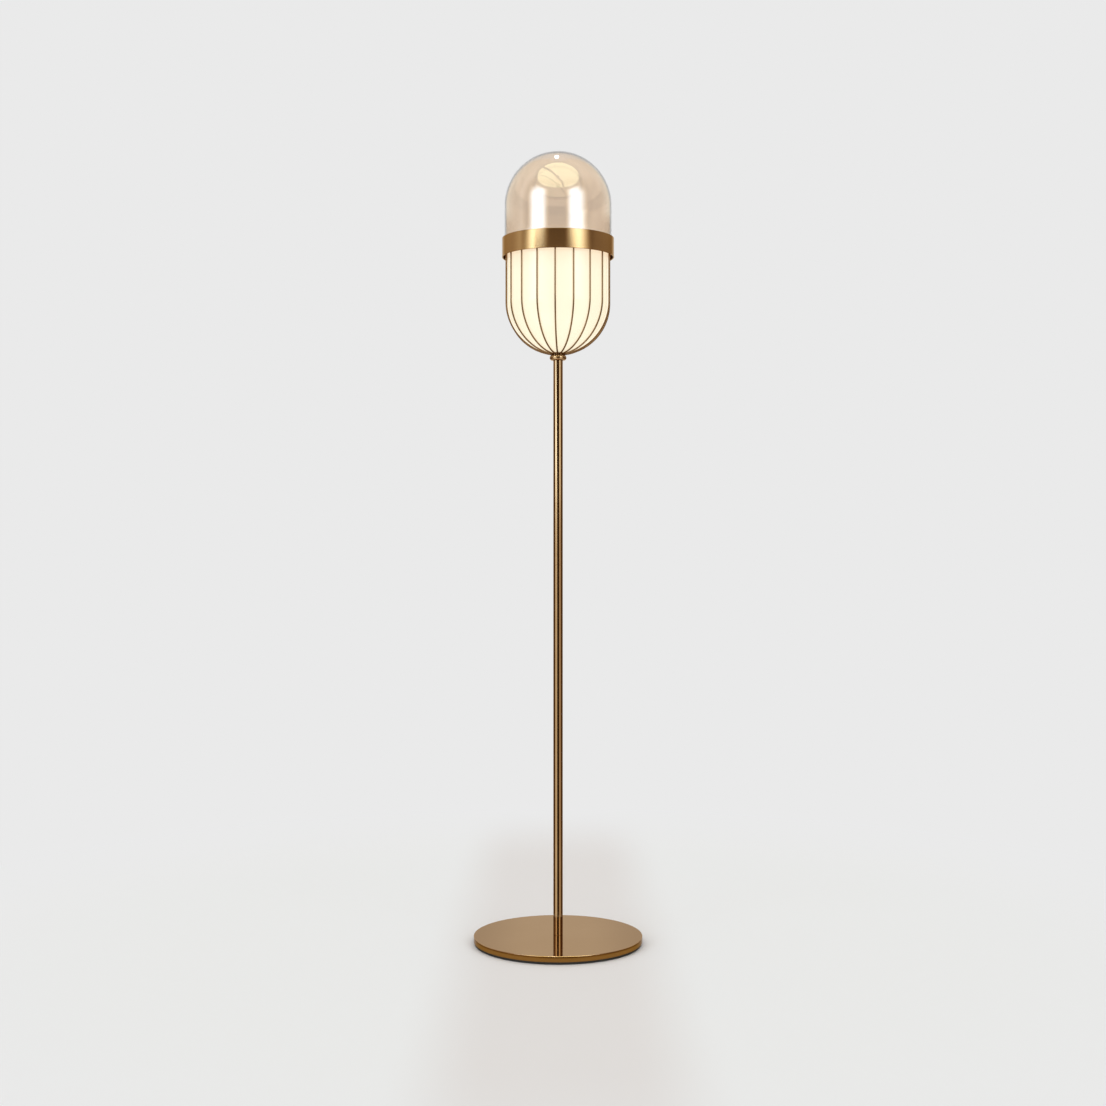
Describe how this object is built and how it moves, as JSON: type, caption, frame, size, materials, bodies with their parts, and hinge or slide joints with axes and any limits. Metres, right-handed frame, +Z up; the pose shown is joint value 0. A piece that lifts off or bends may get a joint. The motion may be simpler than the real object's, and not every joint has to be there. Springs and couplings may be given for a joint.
{
  "type": "floor lamp",
  "caption": "Floor lamp with a capsule head: wire cage round a lit opal bowl below, brass band, tinted clear dome above, on a slim brass stem and round foot.",
  "frame": {"origin": "on the floor, under the stem's centre", "axes": "+Z up, -Y towards the side that the picture shows, lead outlet at +Y"},
  "size_m": [0.32, 0.32, 1.4994],
  "materials": {
    "brushed_brass": "brushed, clear lacquered",
    "polished_brass": "polished",
    "foot_brass": "satin, fine brush lines",
    "wire_brass": "satin, slightly darkened",
    "zinc_steel": "zinc plated",
    "black_pad": "matt foam rubber",
    "black_rubber": "matt",
    "clear_silicone": "translucent silicone",
    "amber_glass": "clear, tinted champagne",
    "opal_glass": "opal, satin outside, lit",
    "black_phenolic": "moulded",
    "white_ceramic": "unglazed",
    "nickel": "pressed sheet",
    "white_plastic": "satin",
    "lit_plastic": "opal, lit",
    "black_glass": "vitrified"
  },
  "bodies": {
    "stand": {"band_shelf": "wire_brass", "bowl_lower_washer": "clear_silicone", "bowl_upper_washer": "clear_silicone", "cage_hub": "wire_brass", "cage_wire_01": "wire_brass", "cage_wire_02": "wire_brass", "cage_wire_03": "wire_brass", "cage_wire_04": "wire_brass", "cage_wire_05": "wire_brass", "cage_wire_06": "wire_brass", "cage_wire_07": "wire_brass", "cage_wire_08": "wire_brass", "cage_wire_09": "wire_brass", "cage_wire_10": "wire_brass", "cage_wire_11": "wire_brass", "cage_wire_12": "wire_brass", "cage_wire_13": "wire_brass", "cage_wire_14": "wire_brass", "cage_wire_15": "wire_brass", "cage_wire_16": "wire_brass", "cage_wire_17": "wire_brass", "cage_wire_18": "wire_brass", "clamp_nut": "zinc_steel", "clamp_washer": "zinc_steel", "dome_seal": "clear_silicone", "foot_bush": "zinc_steel", "foot_nut": "zinc_steel", "foot_pad": "black_pad", "foot_plate": "foot_brass", "foot_rod": "zinc_steel", "foot_washer": "zinc_steel", "head_band": "brushed_brass", "head_bush": "zinc_steel", "head_rod": "zinc_steel", "holder_cap": "black_phenolic", "holder_contact": "polished_brass", "holder_core": "white_ceramic", "holder_skirt": "black_phenolic", "holder_thread": "nickel", "lead_sleeve": "black_rubber", "lower_tube": "polished_brass", "opal_bowl": "opal_glass", "seam_lower_bush": "zinc_steel", "seam_rod": "zinc_steel", "seam_upper_bush": "zinc_steel", "stem_bead": "polished_brass", "terminal_screws": "zinc_steel", "upper_tube": "polished_brass"},
    "dome": {"glass_dome": "amber_glass"},
    "lid": {"lid_disc": "opal_glass", "lid_bar": "polished_brass", "lid_knob": "polished_brass", "lid_screw": "zinc_steel"},
    "bulb": {"bulb_tip": "nickel", "bulb_insulator": "black_glass", "bulb_base": "nickel", "bulb_housing": "white_plastic", "bulb_board": "nickel", "bulb_globe": "lit_plastic"}
  },
  "joints": [
    {"name": "dome_lift", "type": "slide", "parent": "stand", "child": "dome", "axis": [0, 0, 1], "range_m": [0, 0.1]},
    {"name": "lid_lift", "type": "slide", "parent": "stand", "child": "lid", "axis": [0, 0, 1], "range_m": [0, 0.06]},
    {"name": "bulb_lift", "type": "slide", "parent": "stand", "child": "bulb", "axis": [0, 0, 1], "range_m": [0, 0.03]}
  ],
  "couplings": [
    {"joint": "lid_lift", "follows": "dome_lift", "ratio": 0.6}
  ]
}
